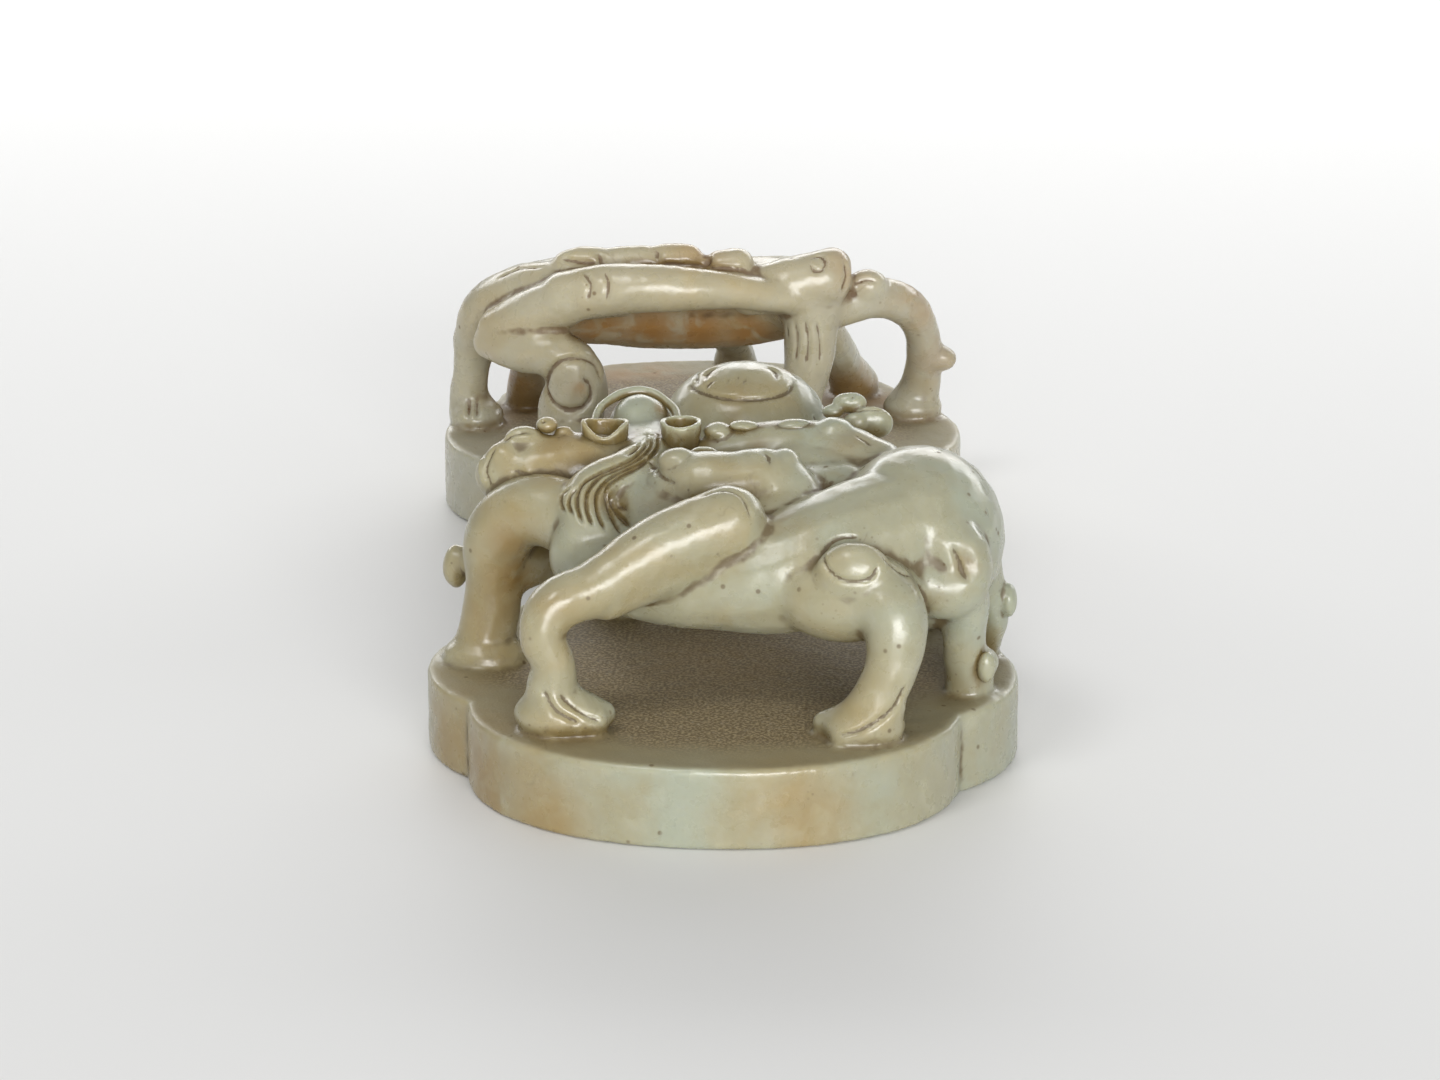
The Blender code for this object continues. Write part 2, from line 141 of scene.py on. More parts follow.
HOOK_MASSES = {
    "haunch": ((66, -5, 61), (29, 33, 31)),
    "thigh": ((44, -44, 52), (25, 19, 16)),
    "thigh knob": ((47, -56, 65), (13, 8, 11)),
    "chest side": ((-44, -18, 55), (13, 10, 14)),
    "near roll end": ((16, -6, 80), (10, 9, 9)),
    "near fore paw": ((-49, -66, 7), (15, 12, 9)),
    "near hind paw": ((51, -65, 5), (14, 12, 8)),
    "far fore paw": ((-81, 3, 2), (15, 12, 7)),
    "crown": ((-32, 50, 84), (11.5, 12, 12.5)),
    "nose near": ((-75, 19, 82), (7, 6, 6)),
    "nose far": ((-68, 22, 85), (9, 6, 7)),
    "jaw": ((-73, 16, 70), (8, 7, 5)),
    "leg scroll": ((89, -17, 13), (5, 6, 5)),
}
# Ears are thin cups: x, y of the middle of the lip as seen, how far along, half width, half depth and
# height in millimetres, how much the lip rises at both sides and how much it dips in front.
HOOK_CUPS = (
    (605, 424, 25, 1.85, 1.5, 3.2, 0.35, 0.75), (681, 421, 25, 1.55, 1.6, 3.2, 0.05, 0.1),
)
ear_wall, ear_foot_share, ear_flare_share, ear_dip_width = 0.42, 0.7, 0.3, 0.7
BROW_BAND = ((-47, 36, 88, 1.6), (-44.5, 50, 94.5, 1.6), (-33, 57, 98.2, 2.0), (-22, 52, 94.5, 1.6),
             (-17.5, 38, 89, 1.6))

# Small rounded details, by where they are seen: x, y, how far along the slab in the same shares,
# then half sizes across, deep and high in millimetres.
HOOK_LUMPS = (
    (678, 461, -5, 1.7, 1.4, 1.15), (784, 463, -5, 1.4, 1.6, 1.2), (718, 431, 26, 1.3, 1.2, 0.75),
    (834, 427, 25, 1.5, 1.5, 0.8), (563, 430, 25, 0.8, 0.6, 0.35), (1009, 600, 10, 0.7, 1.2, 1.5),
    (525, 438, 22, 1.7, 1.3, 1.0), (456, 566, 26, 1.15, 1.3, 1.95),
)
# Tabs and petals with crisp edges, in the same terms.
HOOK_TABS = (
    (704, 456, -1, 1.3, 0.9, 0.8), (758, 457, -2, 1.2, 0.9, 0.75), (744, 426, 26, 1.3, 0.9, 0.45),
    (795, 426, 26, 1.6, 0.9, 0.6), (547, 425, 24, 0.95, 0.9, 0.7), (986, 667, -25, 0.8, 0.7, 1.4),
    (833, 412, 58, 0.95, 0.7, 0.65), (850, 403, 60, 1.5, 0.8, 0.95), (856, 424, 54, 1.2, 0.8, 1.1),
    (871, 423, 56, 1.95, 0.9, 1.5),
)

# Lines ground with a wheel, by where they are seen: points, width and depth in millimetres. A depth
# below nothing leaves a ridge.
MANE = (
    ((658, 435), (658, 447), (647, 460), (630, 468), (613, 477), (602, 487), (597, 497), (598, 512),
     (605, 530)),
    ((652, 435), (651, 447), (640, 458), (623, 467), (603, 475), (592, 485), (587, 495), (587, 510),
     (592, 525)),
    ((647, 435), (647, 443), (635, 457), (617, 466), (597, 474), (583, 483), (577, 495), (577, 507),
     (582, 522)),
    ((577, 487), (570, 495), (568, 505), (573, 515)),
    ((570, 487), (562, 495), (561, 505), (565, 512)),
    ((653, 455), (637, 468), (620, 478), (608, 488), (607, 500), (612, 517), (623, 537)),
    ((610, 497), (615, 510), (625, 522), (635, 533)),
    ((640, 440), (637, 447), (627, 455)),
)
mane_width, mane_depth, mane_fine_reach, mane_fine_cuts = 0.32, 0.42, 0.7, 2
HOOK_LINES = (
    (((700, 497), (722, 490), (742, 497), (752, 520)), 0.35, 0.16),
    (((543, 690), (556, 710), (580, 724)), 0.45, 0.3),
    (((560, 696), (584, 714), (602, 722)), 0.45, 0.28),
    (((490, 444), (483, 457), (480, 470), (485, 486)), 0.35, -0.2),
    (((496, 446), (489, 458), (486, 471), (491, 485)), 0.35, 0.25),
    (((502, 443), (512, 434), (524, 431), (534, 433)), 0.35, 0.2),
    (((906, 686), (892, 710), (860, 730), (836, 736)), 0.5, 0.3),
    (((858, 537), (840, 538), (827, 546), (823, 558), (829, 571), (842, 580), (858, 582), (872, 577),
      (878, 566)), 0.4, 0.3),
    (((880, 552), (892, 566), (904, 574), (913, 576)), 0.35, 0.2),
    (((913, 577), (922, 590), (927, 606), (928, 620)), 0.4, 0.2),
    (((952, 547), (956, 557), (961, 571), (968, 580)), 0.5, 0.35),
    (((930, 444), (945, 448), (958, 452)), 0.3, 0.15),
    (((515, 470), (530, 475), (543, 474)), 0.35, 0.2),
    (((878, 462), (900, 480), (916, 500), (924, 524)), 3.4, -0.35),
    (((688, 382), (695, 389), (714, 396), (736, 399), (758, 399), (777, 396), (790, 390), (795, 380)),
     0.5, 0.35),
    (((705, 380), (708, 372), (720, 366)), 0.5, 0.3),
    (((766, 366), (776, 371), (777, 380)), 0.5, 0.3),
    (((727, 384), (731, 374)), 0.3, 0.15),
    (((735, 385), (739, 374)), 0.3, 0.15),
    (((743, 385), (747, 375)), 0.3, 0.15),
    (((611, 418), (613, 405), (622, 397), (645, 396), (656, 402), (661, 418)), 0.5, 0.4),
    (((694, 447), (696, 454), (702, 459)), 0.5, 0.25),
    (((764, 451), (769, 457), (770, 465)), 0.55, 0.3),
    (((814, 416), (819, 422), (826, 426)), 0.5, 0.35),
    (((728, 424), (731, 429), (736, 432)), 0.45, 0.25),
    (((697, 386), (697, 374), (708, 366), (722, 363)), 0.45, 0.3),
    (((716, 380), (708, 384), (706, 390)), 0.4, 0.25),
    (((770, 362), (786, 366), (797, 376)), 0.45, 0.3),
    (((640, 452), (652, 462), (660, 476), (676, 484)), 0.5, 0.3),
    (((613, 508), (620, 506), (628, 512)), 0.5, 0.25),
    (((855, 392), (851, 400)), 0.35, 0.3),
    (((873, 409), (882, 408)), 0.35, 0.3),
    (((853, 412), (868, 408), (884, 410)), 0.4, 0.3),
    (((855, 434), (864, 440), (872, 446)), 0.35, 0.2),
)

# Dents: x, y as seen, radius and depth in millimetres.
HOOK_DENTS = (
    (965, 557, 1.5, 0.25), (967, 568, 1.4, 0.25), (519, 439, 1.8, 0.2), (543, 421, 0.3, 0.35),
)

# Warm and rusty places, by where they are seen: x, y, reach in millimetres, strength.
HOOK_WARM = (
    (560, 640, 7.0, 0.8), (620, 580, 8.0, 0.8), (720, 520, 6.0, 0.6), (500, 620, 8.0, 1.0),
    (500, 520, 4.0, 0.8), (840, 600, 6.0, 0.4), (520, 450, 5.0, 0.7), (660, 600, 7.0, 0.5),
    (560, 720, 4.0, 0.6), (800, 800, 5.0, 0.9), (810, 830, 4.0, 0.8), (960, 700, 5.0, 0.3),
    (860, 690, 6.0, 0.9), (960, 580, 4.0, 0.2), (480, 790, 6.0, 1.0), (540, 810, 5.0, 1.0),
    (450, 740, 6.0, 0.9), (700, 402, 4.0, 0.8), (770, 403, 4.0, 0.8), (735, 404, 4.0, 0.8),
    (560, 460, 5.0, 1.0), (730, 480, 4.0, 0.6), (780, 500, 3.0, 0.6), (560, 720, 5.0, 0.8),
)
HOOK_RUST = (
    (520, 575, 2.8, 0.9), (512, 545, 2.2, 0.7), (500, 600, 3.0, 0.4), (661, 410, 1.0, 0.7),
    (604, 424, 1.2, 0.6), (600, 500, 1.6, 0.4), (620, 508, 1.0, 0.5), (480, 785, 6.0, 0.6),
    (550, 600, 1.6, 0.3), (540, 820, 5.0, 0.4), (705, 375, 1.0, 0.55), (712, 367, 0.8, 0.5),
    (785, 370, 0.9, 0.5), (966, 563, 1.5, 0.5), (660, 500, 2.5, 0.35), (585, 465, 2.5, 0.4),
    (758, 447, 0.8, 0.5), (735, 420, 0.8, 0.3), (850, 440, 2.0, 0.4), (780, 520, 2.0, 0.35),
    (736, 397, 1.4, 0.35), (560, 440, 2.0, 0.45), (665, 470, 1.6, 0.35), (445, 740, 5.0, 0.4),
    (810, 820, 4.0, 0.35), (720, 660, 9.0, 0.25),
)


def pick_only(*pieces):
    bpy.ops.object.select_all(action="DESELECT")
    for piece in pieces:
        piece.select_set(True)
    bpy.context.view_layer.objects.active = pieces[0]


def finish_with(piece, kind, **settings):
    """One modifier with its settings, turned into mesh."""
    pick_only(piece)
    modifier = piece.modifiers.new(kind.lower(), kind)
    for name, value in settings.items():
        setattr(modifier, name, value)
    bpy.ops.object.modifier_apply(modifier=modifier.name)


def on_slab(across, along, up):
    """Shares of the plaque to a place in metres, from the middle of the slab's underside."""
    return Vector((
        across / 100 * half_width * MM,
        along / 100 * half_length * MM,
        (slab_thickness + up / 100 * carving_height) * MM,
    ))


def end_lobe(angle):
    sine, cosine = math.sin(angle), math.cos(angle)
    across = math.copysign(abs(sine) ** (2 / end_lobe_squareness), sine) * end_lobe_width / 2
    along = math.copysign(abs(cosine) ** (2 / end_lobe_squareness), cosine) * end_lobe_depth
    return Vector((across, end_lobe_depth - half_length - along))


def slab_outline():
    """Quatrefoil: two wide end lobes and two narrow side lobes that meet in four notches."""
    side_middle = Vector((half_width - side_lobe_radius, 0.0))
    low, high = math.radians(60), math.radians(120)
    halvings = 40
    for _ in range(halvings):
        reach = (low + high) / 2
        if (end_lobe(reach) - side_middle).length > side_lobe_radius:
            low = reach
        else:
            high = reach
    notch = end_lobe(reach)
    sweep = math.atan2(-notch.y, notch.x - side_middle.x)
    half = [end_lobe(-reach + 2 * reach * step / lobe_steps) for step in range(lobe_steps)]
    for step in range(lobe_steps // 2):
        angle = -sweep + 4 * sweep * step / lobe_steps
        half.append(side_middle + side_lobe_radius * Vector((math.cos(angle), math.sin(angle))))
    return half + [-corner for corner in half]


def saw_slab(name):
    outline = slab_outline()
    bpy.ops.object.select_all(action="DESELECT")
    bpy.ops.mesh.primitive_circle_add(vertices=len(outline), radius=half_width * MM, fill_type="NGON")
    slab = bpy.context.object
    slab.name = name
    for corner, place in zip(slab.data.vertices, outline):
        corner.co = (place.x * MM, place.y * MM, 0.0)
    bpy.ops.object.mode_set(mode="EDIT")
    bpy.ops.mesh.select_all(action="SELECT")
    bpy.ops.mesh.extrude_region_move(TRANSFORM_OT_translate={"value": (0.0, 0.0, slab_thickness * MM)})
    bpy.ops.mesh.select_all(action="SELECT")
    bpy.ops.mesh.normals_make_consistent(inside=False)
    bpy.ops.object.mode_set(mode="OBJECT")
    finish_with(slab, "BEVEL", width=edge_wear * MM, segments=3, limit_method="ANGLE",
                angle_limit=math.radians(50))
    return slab


def ball(centre, halves):
    bpy.ops.mesh.primitive_ico_sphere_add(subdivisions=3, radius=1.0, location=centre, scale=halves)
    return bpy.context.object


def melt_together(piece, others, voxel, rounds):
    """One smooth skin over several pieces."""
    pick_only(piece, *others)
    bpy.ops.object.join()
    finish_with(piece, "REMESH", mode="VOXEL", voxel_size=voxel * MM)
    finish_with(piece, "SMOOTH", factor=0.5, iterations=rounds)


def rough_out(name, limbs, masses, more_runs=(), more_balls=(), voxel=rough_voxel, rounds=melt_rounds):
    """Round limbs along smooth runs and rounded masses, melted into one skin."""
    curve = bpy.data.curves.new(name, "CURVE")
    curve.dimensions = "3D"
    curve.bevel_depth = 1.0
    curve.bevel_resolution = 6
    curve.use_fill_caps = True
    curve.resolution_u = 10
    runs = [[(on_slab(*step[:3]), step[3] / 100 * half_width * MM) for step in steps]
            for steps in limbs.values()]
    runs.extend(more_runs)
    for run in runs:
        spline = curve.splines.new("BEZIER")
        spline.bezier_points.add(len(run) - 1)
        for knot, (place, radius) in zip(spline.bezier_points, run):
            knot.co = place
            knot.radius = radius
            knot.handle_left_type = "AUTO"
            knot.handle_right_type = "AUTO"
    body = bpy.data.objects.new(name, curve)
    bpy.context.collection.objects.link(body)
    pick_only(body)
    bpy.ops.object.convert(target="MESH")
    body = bpy.context.object
    lumps = [ball(place, (radius, radius, radius)) for run in runs for place, radius in (run[0], run[-1])]
    for centre, halves in masses:
        lumps.append(ball(on_slab(*centre), [half / 100 * half_width * MM for half in halves]))
    lumps.extend(ball(centre, halves) for centre, halves in more_balls)
    melt_together(body, lumps, voxel, rounds)
    return body


def hook_runs():
    """Neck under the loop bar, up through the slot and back over it, with a domed head."""
    thick = hook_neck_thickness / 2
    aside = hook_neck_width / 2 - thick
    low = ground_clearance + thick
    outer = half_length + hook_reach
    top = low + hook_neck_thickness + hook_throat
    path = ((half_length - hook_neck_thickness, low), (outer - hook_neck_thickness, low),
            (outer - thick * hook_elbow_share, low + thick * hook_elbow_rise_share),
            (outer, (low + top) / 2 + thick * hook_back_share),
            (outer - thick, top - thick * hook_elbow_share),
            (outer - head_setback * hook_end_share, top + thick * hook_elbow_share))
    runs = [[(Vector((side, along, up)) * MM, thick * MM) for along, up in path]
            for side in (-aside, 0.0, aside)]
    head_low = ground_clearance + hook_neck_thickness + hook_throat
    head = Vector((0.0, outer - head_setback,
                   head_low + hook_head_thickness / 2 - thick * head_sink_share))
    halves = Vector((hook_head_width, hook_head_depth, hook_head_thickness)) * MM / 2
    return runs, [(head * MM, halves)]


def ear_cup(x, y, along, wide, deep, tall, lift, dip):
    """Thin-walled cup, narrower at its foot."""
    bpy.ops.object.select_all(action="DESELECT")
    bpy.ops.mesh.primitive_cylinder_add(vertices=24, radius=1.0, depth=1.0, end_fill_type="NOTHING")
    cup = bpy.context.object
    bpy.ops.object.mode_set(mode="EDIT")
    bpy.ops.mesh.select_all(action="SELECT")
    bpy.ops.mesh.subdivide(number_cuts=4)
    bpy.ops.object.mode_set(mode="OBJECT")
    lip = seen_at(x, y, along)
    for corner in cup.data.vertices:
        rise = corner.co.z + 0.5
        turn = math.atan2(corner.co.x, -corner.co.y)
        flare = ear_foot_share + ear_flare_share * math.sin(math.pi / 2 * rise)
        edge = lift * math.sin(turn) ** 2 - dip * math.exp(-(turn / ear_dip_width) ** 2)
        corner.co = lip + MM * Vector((wide * flare * math.sin(turn), -deep * flare * math.cos(turn),
                                       tall * (rise - 1) + edge * rise))
    finish_with(cup, "SOLIDIFY", thickness=ear_wall * MM, offset=0.0)
    return cup


def stone_tree(piece):
    return BVHTree.FromObject(piece, bpy.context.evaluated_depsgraph_get())


def sight(x, y):
    """Direction in which the camera sees a point of the picture."""
    toward = ahead * lens_scale + rightward * (x - frame_wide / 2) - upward * (y - frame_high / 2)
    return toward.normalized()


def seen(tree, x, y):
    """Place on the stone that shows at a point of the picture, or None."""
    return tree.ray_cast(eye, sight(x, y))[0]


def seen_at(x, y, along):
    """Place that shows at a point of the picture, a share of half the slab's length along it."""
    toward = sight(x, y)
    return eye + toward * ((hook_middle.y + along / 100 * half_length * MM - eye.y) / toward.y)


def seen_balls(table):
    return [ball(seen_at(x, y, along), [half * MM for half in halves]) for x, y, along, *halves in table]


def even_line(points, step):
    """Smooth line through points given in the picture, cut into even short steps."""
    points = [Vector((*point, 0.0)) for point in points]
    points = [points[0] * 2 - points[1]] + points + [points[-1] * 2 - points[-2]]
    line = []
    for a, b, c, d in zip(points, points[1:], points[2:], points[3:]):
        count = max(2, int((c - b).length / step))
        for index in range(count):
            t = index / count
            line.append(0.5 * (2 * b + (c - a) * t + (2 * a - 5 * b + 4 * c - d) * t * t
                               + (3 * b - 3 * c + d - a) * t ** 3))
    line.append(points[-2])
    return [(place.x, place.y) for place in line]


def laid_line(tree, points):
    """Line on the stone: it stops where the next step would jump to another limb."""
    picture_step, widest_step = 1.5, 1.2
    line = []
    for x, y in even_line(points, picture_step):
        place = seen(tree, x, y)
        if place and (not line or (place - line[-1]).length < widest_step * MM):
            line.append(place)
    return line


def seen_spots(tree, spots):
    """Places on the stone for a list of x, y, reach, strength."""
    hits = [(seen(tree, x, y), reach, strength) for x, y, reach, strength in spots]
    return [(place, reach, strength) for place, reach, strength in hits if place]


def read_rows(items, name, wide, kind=np.float32):
    rows = np.empty(len(items) * wide, dtype=kind)
    items.foreach_get(name, rows)
    return rows.reshape(-1, wide)


def skin(piece):
    """Places, normals and edges of a mesh."""
    mesh = piece.data
    return (read_rows(mesh.vertices, "co", 3).astype(float),
            read_rows(mesh.vertex_normals, "vector", 3).astype(float),
            read_rows(mesh.edges, "vertices", 2, np.int32))


def reshape(piece, places):
    piece.data.vertices.foreach_set("co", places.astype(np.float32).ravel())
    piece.data.update()


def finder(places):
    tree = KDTree(len(places))
    for index, place in enumerate(places.tolist()):
        tree.insert(place, index)
    tree.balance()
    return tree


def fine_skin(piece, lines, width, cuts):
    """Finer faces beside lines that are too close together for the rest of the skin."""
    laid = np.array([tuple(place) for line in lines for place in line])
    tree = finder(laid)
    mesh = piece.data
    pick_only(piece)
    bpy.ops.object.mode_set(mode="EDIT")
    bpy.ops.mesh.select_all(action="DESELECT")
    bpy.ops.object.mode_set(mode="OBJECT")
    low, high = laid.min(axis=0) - width * MM, laid.max(axis=0) + width * MM
    middles = read_rows(mesh.polygons, "center", 3)
    for index in np.nonzero(np.all((middles > low) & (middles < high), axis=1))[0].tolist():
        mesh.polygons[index].select = tree.find(middles[index])[2] < width * MM
    bpy.ops.object.mode_set(mode="EDIT")
    bpy.ops.mesh.select_mode(type="FACE")
    bpy.ops.mesh.subdivide(number_cuts=cuts)
    bpy.ops.object.mode_set(mode="OBJECT")


def grind(piece, lines, dents=()):
    """Rounded grooves that fade out at both ends, and round dents."""
    fade_steps, round_share = 5, 0.5
    places, normals, _ = skin(piece)
    tree = finder(places)
    cut = np.zeros(len(places))
    for steps, width, depth in lines:
        for index, step in enumerate(steps):
            fade = min(1.0, (index + 1) / fade_steps, (len(steps) - index) / fade_steps)
            for _, near, gap in tree.find_range(step, width * MM):
                bite = depth * fade * math.exp(-(gap / (width * MM * round_share)) ** 2)
                if abs(bite) > abs(cut[near]):
                    cut[near] = bite
    for centre, radius, depth in dents:
        for _, near, gap in tree.find_range(centre, radius * MM):
            cut[near] += depth * (1 - (gap / (radius * MM)) ** 2) ** 2
    reshape(piece, places - normals * (cut * MM)[:, None])


def spread(values, edges, rounds):
    """Average over neighbours, again and again."""
    first, second = edges.T
    count = len(values)
    shares = (np.bincount(first, minlength=count) + np.bincount(second, minlength=count))[:, None]
    for _ in range(rounds):
        values = np.stack([np.bincount(first, values[second, axis], count)
                           + np.bincount(second, values[first, axis], count)
                           for axis in range(values.shape[1])], axis=1) / np.maximum(shares, 1)
    return values


def record_skin(piece, name, values):
    layer = piece.data.attributes.new(name, "FLOAT", "POINT")
    layer.data.foreach_set("value", values.astype(np.float32))


def soft_spots(places, spots):
    """Strength of a list of soft round spots at every place."""
    total = np.zeros(len(places))
    for centre, reach, strength in spots:
        gap = np.linalg.norm(places - np.array(centre), axis=1) / (reach * MM)
        total = np.maximum(total, strength * np.exp(-gap ** 2))
    return total


def tool_waves(places):
    """Slight unevenness left by hand grinding, in millimetres."""
    wave_height = 0.022
    x, y, z = places.T / MM
    wave = np.sin(0.9 * x + 1.3 * y - 0.7 * z) * np.sin(1.1 * y + 1.7 * z + 0.6)
    wave += np.sin(2.3 * x - 1.9 * z + 1.0) * np.sin(2.1 * y + 1.2 * x)
    wave += 0.4 * np.sin(4.1 * x + 3.3 * z) * np.sin(3.7 * y - 2.9 * z + 0.4)
    return wave * wave_height


def shelter(piece, places, normals):
    """How shut in each place is, from 0 in the open to 1 deep between the limbs."""
    tree = stone_tree(piece)
    rays = 14
    reach, skin_lift, ray_spread = 9 * MM, 0.05 * MM, 0.98
    golden_turn = math.pi * (1 + 5 ** 0.5)
    ball_points = []
    for index in range(rays):
        turn, rise = golden_turn * index, 1 - 2 * (index + 0.5) / rays
        around = math.sqrt(1 - rise ** 2)
        ball_points.append(Vector((math.cos(turn) * around, math.sin(turn) * around, rise)))
    shut = np.zeros(len(places))
    for index, (place, normal) in enumerate(zip(places.tolist(), normals.tolist())):
        out = Vector(normal)
        start = Vector(place) + out * skin_lift
        total = 0.0
        for point in ball_points:
            _, _, _, gap = tree.ray_cast(start, out + point * ray_spread, reach)
            if gap is not None:
                total += 1 - gap / reach
        shut[index] = total / rays
    return shut


def polish(piece, place, warm, rust):
    """Hand-worn surface, and what the colours need to know of it: pits and hollows, the floor and how
    far in from its rim, how shut in each place is, and warm and rusty places."""
    near_spread, wide_spread, floor_spread, shut_rounds = 0.16, 0.8, 0.4, 4
    sharp_depth, broad_depth, foot_height, foot_share = 0.05, 0.35, 1.2, 0.3
    floor_height, floor_facing, floor_least = 0.6, 0.8, 0.05
    places, normals, edges = skin(piece)
    places += normals * (tool_waves(places) * MM)[:, None]
    reshape(piece, np.clip(places, cad_low, cad_high))
    places, normals, edges = skin(piece)
    step_share = (fine_voxel ** 2) / 2
    near = spread(places, edges, round(near_spread / step_share))
    wide = spread(near, edges, round(wide_spread / step_share))
    sharp_pit = np.einsum("ij,ij->i", near - places, normals) / (sharp_depth * MM)
    above_floor = np.abs(places[:, 2] / MM - slab_thickness)
    sharp_pit[above_floor < foot_height] *= foot_share
    broad_pit = np.einsum("ij,ij->i", wide - places, normals) / (broad_depth * MM)
    level = (above_floor < floor_height) & (normals[:, 2] > floor_facing)
    ground = spread(level.astype(float)[:, None], edges, round(floor_spread / step_share))[:, 0]
    record_skin(piece, "pit", np.clip(sharp_pit, -1.0, 1.0))
    record_skin(piece, "hollow", np.clip(broad_pit, -1.0, 1.0))
    record_skin(piece, "ground", ground)
    rim = finder(np.array([tuple(place @ (MM * Vector((*corner, slab_thickness))))
                           for corner in slab_outline()]))
    inner = np.zeros(len(places))
    for index in np.nonzero(ground > floor_least)[0].tolist():
        inner[index] = rim.find(places[index])[2]
    record_skin(piece, "inner", inner / MM)
    count = sum(len(face.vertices) - 2 for face in piece.data.polygons)
    finish_with(piece, "DECIMATE", ratio=min(1.0, skin_triangles / count))
    places, normals, edges = skin(piece)
    # How shut in each place is decides where the colour paints shade between the limbs.
    shut = spread(shelter(piece, places, normals)[:, None], edges, shut_rounds)[:, 0]
    record_skin(piece, "shut", shut)
    record_skin(piece, "warm", soft_spots(places, warm))
    record_skin(piece, "rust", soft_spots(places, rust))
    for face in piece.data.polygons:
        face.use_smooth = True


def effect(name, inputs, outputs):
    """Empty node group with named sockets."""
    group = bpy.data.node_groups.new(name, "ShaderNodeTree")
    for label, kind in inputs.items():
        group.interface.new_socket(name=label, in_out="INPUT", socket_type="NodeSocket" + kind)
    for label, kind in outputs.items():
        group.interface.new_socket(name=label, in_out="OUTPUT", socket_type="NodeSocket" + kind)
    return group, group.nodes.new("NodeGroupInput").outputs, group.nodes.new("NodeGroupOutput").inputs


def ramp(tree, source, low, high):
    """Value stretched from low..high to 0..1 with soft ends."""
    made = tree.nodes.new("ShaderNodeMapRange")
    made.interpolation_type = "SMOOTHSTEP"
    made.inputs["From Min"].default_value = low
    made.inputs["From Max"].default_value = high
    tree.links.new(source, made.inputs["Value"])
    return made.outputs["Result"]


def combine(tree, operation, first, second, clamp=False):
    made = tree.nodes.new("ShaderNodeMath")
    made.operation = operation
    made.use_clamp = clamp
    for value, socket in zip((first, second), made.inputs):
        if isinstance(value, float):
            socket.default_value = value
        else:
            tree.links.new(value, socket)
    return made.outputs[0]


def times(tree, first, second):
    return combine(tree, "MULTIPLY", first, second)


def plus(tree, first, second):
    """Sum, kept within 0 and 1."""
    return combine(tree, "ADD", first, second, clamp=True)


def blend(tree, amount, under, over):
    made = tree.nodes.new("ShaderNodeMix")
    made.data_type = "RGBA"
    under_color, over_color, mixed_color = 6, 7, 2
    tree.links.new(amount, made.inputs["Factor"])
    for value, socket in ((under, made.inputs[under_color]), (over, made.inputs[over_color])):
        if isinstance(value, tuple):
            socket.default_value = (*value, 1.0)
        else:
            tree.links.new(value, socket)
    return made.outputs[mixed_color]


def noise(tree, place, size, detail=3.0, warp=0.0):
    """Noise with features of a size in millimetres."""
    made = tree.nodes.new("ShaderNodeTexNoise")
    made.inputs["Scale"].default_value = 1 / (size * MM)
    made.inputs["Detail"].default_value = detail
    made.inputs["Distortion"].default_value = warp
    tree.links.new(place, made.inputs["Vector"])
    return made.outputs["Fac"]


def cloudy_stone():
    """Two colours of nephrite that drift into each other, with paler clouds and a fine felted grain."""
    group, given, out = effect(
        "cloudy_stone", dict(Place="Vector", Green="Color", Beige="Color", Warm="Float"),
        dict(Color="Color"))
    place = given["Place"]
    warm_share, drift_share, pale_share, olive_share, felt_share = 0.85, 0.4, 0.22, 0.3, 0.16
    pale_green, olive_brown, felt_brown = (0.54, 0.53, 0.40), (0.31, 0.265, 0.13), (0.30, 0.26, 0.15)
    drift = ramp(group, noise(group, place, size=8.0, detail=4.0, warp=0.6), 0.38, 0.68)
    share = plus(group, times(group, given["Warm"], warm_share), times(group, drift, drift_share))
    stone = blend(group, share, given["Green"], given["Beige"])
    pale = ramp(group, noise(group, place, size=2.6, detail=5.0, warp=0.4), 0.48, 0.75)
    stone = blend(group, times(group, pale, pale_share), stone, pale_green)
    olive = ramp(group, noise(group, place, size=4.1, detail=4.0, warp=0.5), 0.52, 0.72)
    stone = blend(group, times(group, olive, olive_share), stone, olive_brown)
    felt = ramp(group, noise(group, place, size=0.7, detail=6.0), 0.54, 0.72)
    stone = blend(group, times(group, felt, felt_share), stone, felt_brown)
    group.links.new(stone, out["Color"])
    return group


def rusty_stain():
    """Iron that has soaked in from the skin of the pebble, stronger in patches; also one band of painted
    shade.
    """
    group, given, out = effect(
        "rusty_stain", dict(Place="Vector", Color="Color", Amount="Float", Rust="Color"),
        dict(Color="Color"))
    place = given["Place"]
    least_share = 0.35
    patch = ramp(group, noise(group, place, size=2.4, detail=5.0, warp=0.8), 0.3, 0.65)
    amount = times(group, given["Amount"], plus(group, patch, least_share))
    group.links.new(blend(group, amount, given["Color"], given["Rust"]), out["Color"])
    return group


def specks(tree, place, apart, reach):
    """Scattered dots: distance between them in millimetres, and how far each reaches as a share of it."""
    solid_share = 0.4
    made = tree.nodes.new("ShaderNodeTexVoronoi")
    made.inputs["Scale"].default_value = 1 / (apart * MM)
    tree.links.new(place, made.inputs["Vector"])
    return ramp(tree, made.outputs["Distance"], reach, reach * solid_share)


